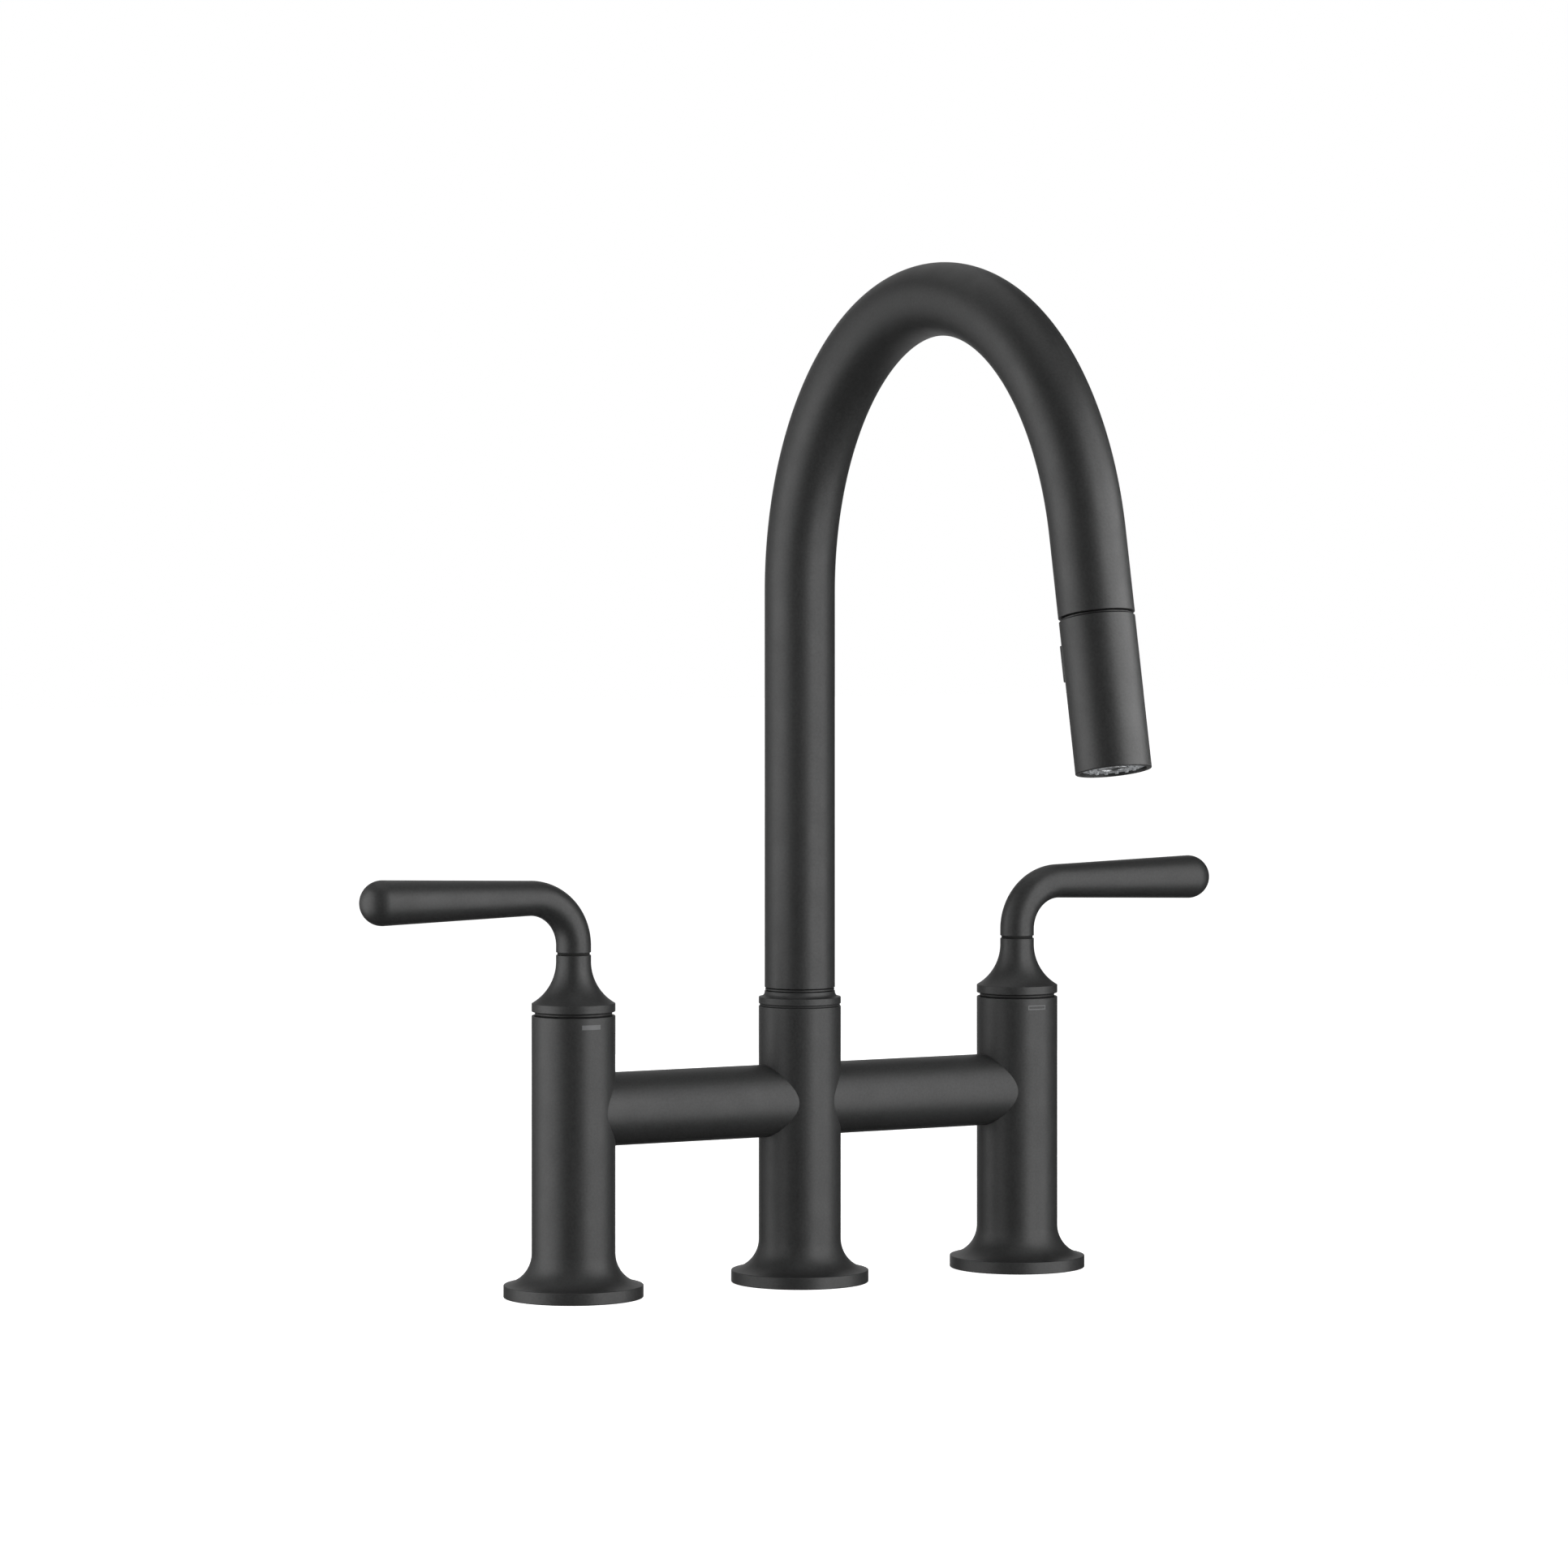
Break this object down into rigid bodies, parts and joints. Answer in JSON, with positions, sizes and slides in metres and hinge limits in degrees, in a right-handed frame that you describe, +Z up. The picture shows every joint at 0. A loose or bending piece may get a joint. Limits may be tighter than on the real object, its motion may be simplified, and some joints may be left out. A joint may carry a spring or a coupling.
{
  "type": "bridge kitchen faucet",
  "caption": "Deck-mounted bridge kitchen faucet with side levers, a swivelling gooseneck and a pull-down spray head.",
  "frame": {"origin": "centre of the centre post's foot, in the plane of the deck that the faucet is fixed to", "axes": "+Z up, +X along the bridge to the right as a user at the sink sees it, -Y towards the sink and the user"},
  "size_m": [0.3806, 0.2817, 0.401],
  "materials": {
    "matte_black": "fine matte powder coat",
    "black_plastic": "moulded, matte",
    "brass": "turned",
    "steel": "brushed",
    "ceramic": "lapped",
    "rubber": "moulded",
    "grey_plastic": "moulded",
    "hose_nylon": "braided nylon"
  },
  "bodies": {
    "bridge_body": {"centre_post": "matte_black", "left_post": "matte_black", "right_post": "matte_black", "centre_base_seal": "rubber", "left_base_seal": "rubber", "right_base_seal": "rubber", "left_bridge_tube": "matte_black", "right_bridge_tube": "matte_black", "left_inner_spigot": "brass", "left_outer_spigot": "brass", "right_inner_spigot": "brass", "right_outer_spigot": "brass", "left_inner_oring": "rubber", "left_outer_oring": "rubber", "right_inner_oring": "rubber", "right_outer_oring": "rubber", "left_inlet_nipple": "brass", "right_inlet_nipple": "brass", "left_cartridge": "brass", "right_cartridge": "brass", "left_cartridge_nut": "brass", "right_cartridge_nut": "brass", "left_fixed_disc": "ceramic", "right_fixed_disc": "ceramic", "left_glide_ring": "black_plastic", "right_glide_ring": "black_plastic", "hose_block": "brass", "hose_guide": "grey_plastic", "swivel_bush": "black_plastic"},
    "left_handle": {"left_lever": "matte_black", "left_hub": "matte_black", "left_lever_stud": "steel", "left_hub_screw": "steel", "left_spindle": "brass", "left_moving_disc": "ceramic"},
    "right_handle": {"right_lever": "matte_black", "right_hub": "matte_black", "right_lever_stud": "steel", "right_hub_screw": "steel", "right_spindle": "brass", "right_moving_disc": "ceramic"},
    "spout": {"spout_tube": "matte_black", "spout_collar": "matte_black", "spout_trim_ring": "matte_black", "spout_shank": "brass", "shank_clip": "steel", "dock_sleeve": "black_plastic", "dock_magnet": "steel", "spray_hose": "hose_nylon"},
    "spray_head": {"head_shell": "matte_black", "head_neck": "black_plastic", "head_steel_ring": "steel", "hose_connector": "brass", "check_valve": "grey_plastic", "diverter_body": "grey_plastic", "nozzle_plate": "grey_plastic", "aerator": "steel"},
    "spray_button_body": {"spray_button": "matte_black", "button_spring": "steel"}
  },
  "joints": [
    {"name": "left_lever_turn", "type": "hinge", "parent": "bridge_body", "child": "left_handle", "pos_m": [-0.1, 0, 0.1113], "axis": [0, 0, 1], "range_deg": [0, 90]},
    {"name": "right_lever_turn", "type": "hinge", "parent": "bridge_body", "child": "right_handle", "pos_m": [0.1, 0, 0.1113], "axis": [0, 0, 1], "range_deg": [-90, 0]},
    {"name": "spout_swivel", "type": "hinge", "parent": "bridge_body", "child": "spout", "pos_m": [0, 0, 0.1107], "axis": [0, 0, 1], "continuous": true},
    {"name": "head_pull", "type": "slide", "parent": "spout", "child": "spray_head", "axis": [0, -0.2079, -0.9781], "range_m": [0, 0.2], "deforming": ["spray_hose"]},
    {"name": "button_press", "type": "slide", "parent": "spray_head", "child": "spray_button_body", "axis": [0, -0.9781, 0.2079], "range_m": [0, 0.001], "stiffness_N_per_m": 400, "springref_m": -0.002, "deforming": ["button_spring"]}
  ]
}
